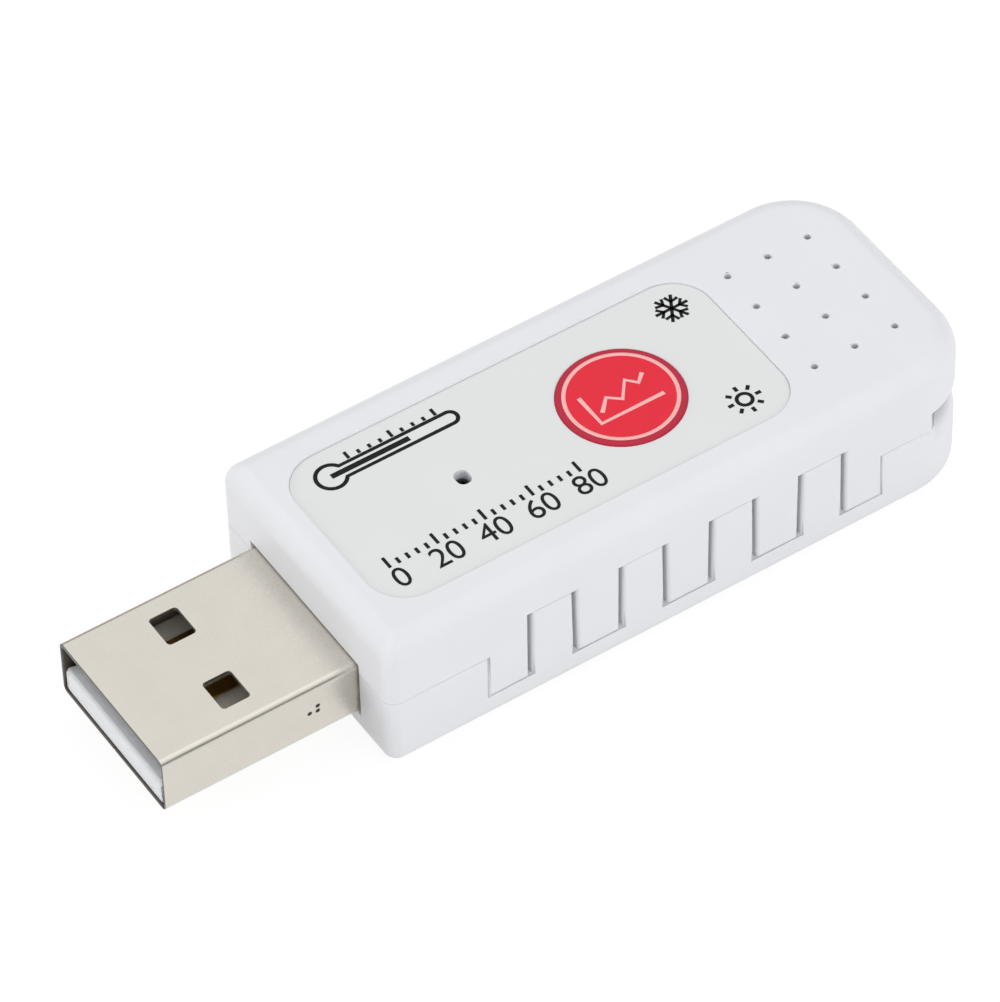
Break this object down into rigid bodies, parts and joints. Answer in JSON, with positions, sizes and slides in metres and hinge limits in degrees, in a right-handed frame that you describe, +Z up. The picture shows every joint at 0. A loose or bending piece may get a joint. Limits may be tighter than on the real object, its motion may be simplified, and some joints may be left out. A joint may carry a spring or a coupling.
{
  "type": "temperature data logger",
  "caption": "White stick-shaped temperature data logger with a type A plug, a round red press button, a label, an indicator window and a grid of air vents.",
  "frame": {"origin": "centre of the bounding box at the height of the underside", "axes": "+X from the plug's tip towards the rounded rear end, +Z up out of the label"},
  "size_m": [0.059, 0.0192, 0.0108],
  "materials": {
    "case_plastic": "satin white moulded plastic",
    "label_film": "pale satin film",
    "button_red": "red with a crimson rim",
    "plug_steel": "satin nickel plate",
    "tongue_white": "white moulded plastic",
    "contact_gold": "thin gold plate",
    "board_green": "green solder mask",
    "chip_black": "moulded black",
    "tinned_metal": "tinned",
    "led_ceramic": "pale ceramic",
    "led_red": "red tinted resin",
    "crystal_ceramic": "tan ceramic",
    "capacitor_tan": "tan ceramic",
    "resistor_black": "glazed black",
    "switch_black": "moulded black",
    "switch_steel": "pressed steel"
  },
  "bodies": {
    "case": {"bottom_cover": "case_plastic", "top_cover": "case_plastic", "label_film": "label_film", "plug_shell": "plug_steel", "plug_insulator": "tongue_white", "contact_power": "contact_gold", "contact_data_minus": "contact_gold", "contact_data_plus": "contact_gold", "contact_ground": "contact_gold", "circuit_board": "board_green", "controller_chip": "chip_black", "controller_leads": "tinned_metal", "memory_chip": "chip_black", "memory_leads": "tinned_metal", "temperature_sensor": "chip_black", "sensor_leads": "tinned_metal", "voltage_regulator": "chip_black", "regulator_leads": "tinned_metal", "indicator_led": "led_ceramic", "led_lens": "led_red", "crystal_can": "tinned_metal", "crystal_base": "crystal_ceramic", "capacitor_bodies": "capacitor_tan", "capacitor_ends": "tinned_metal", "resistor_bodies": "resistor_black", "resistor_ends": "tinned_metal", "switch_housing": "switch_black", "switch_cover": "switch_steel", "switch_dome": "switch_steel", "switch_terminals": "tinned_metal", "solder_joints": "tinned_metal"},
    "button": {"button_cap": "button_red", "switch_plunger": "switch_black"}
  },
  "joints": [
    {"name": "button_press", "type": "slide", "parent": "case", "child": "button", "axis": [0, 0, -1], "range_m": [0, 0.00025], "stiffness_N_per_m": 4000, "deforming": ["switch_dome"]}
  ]
}
